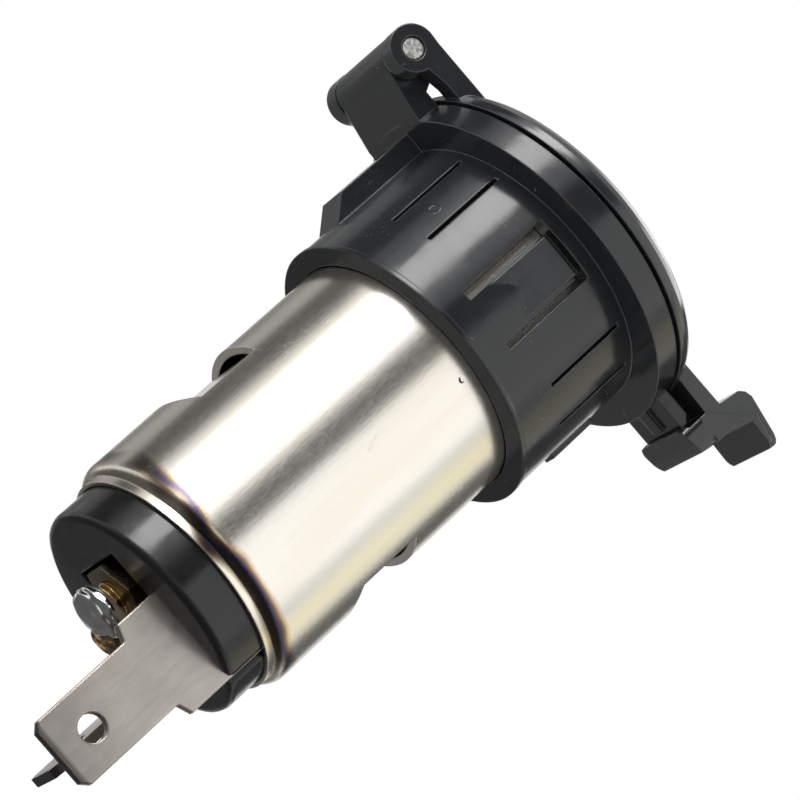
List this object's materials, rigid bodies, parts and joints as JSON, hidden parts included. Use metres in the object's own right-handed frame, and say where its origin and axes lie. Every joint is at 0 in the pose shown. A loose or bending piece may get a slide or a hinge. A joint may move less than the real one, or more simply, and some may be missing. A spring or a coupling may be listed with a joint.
{
  "type": "car 12v power socket",
  "caption": "Panel-mounted round 12 V accessory socket with a nickel-plated shell, rear blade terminals and a hinged, latched black cover.",
  "frame": {"origin": "on the socket's axis, in the plane of the flange's rear face, which rests on the panel", "axes": "+Z along the socket's axis out of the panel towards the cover, +Y towards the hinge, latch at -Y, X along the hinge pin"},
  "size_m": [0.0318, 0.0467, 0.0667],
  "materials": {
    "black_moulding": "satin black",
    "cover_moulding": "glossy black",
    "nickel_shell": "satin nickel plate",
    "phenolic": "semi-gloss black",
    "nickel_blade": "satin nickel plate",
    "brass": "bright",
    "steel_washer": "zinc plate",
    "solder": "bright tin",
    "leaf_brass": "rolled",
    "fibre": "matt fibre",
    "gasket_rubber": "matt black rubber",
    "pin_steel": "cut steel",
    "spring_steel": "drawn wire"
  },
  "bodies": {
    "socket": {"housing": "black_moulding", "shell": "nickel_shell", "rear_plug": "phenolic", "ground_terminal": "nickel_blade", "positive_terminal": "nickel_blade", "stud": "brass", "nut": "brass", "nut_washer": "steel_washer", "solder_joint": "solder", "contact_leaf": "leaf_brass", "insulating_disc": "fibre", "lid_spring": "spring_steel"},
    "cover": {"lid": "cover_moulding", "lid_gasket": "gasket_rubber", "hinge_pin": "pin_steel"}
  },
  "joints": [
    {"name": "lid_hinge", "type": "hinge", "parent": "socket", "child": "cover", "pos_m": [0, 0.01971, 0.00284], "axis": [-1, 0, 0], "range_deg": [0, 110], "stiffness_Nm_per_rad": 0.0015, "springref_deg": -22.92, "deforming": ["lid_spring"]}
  ]
}
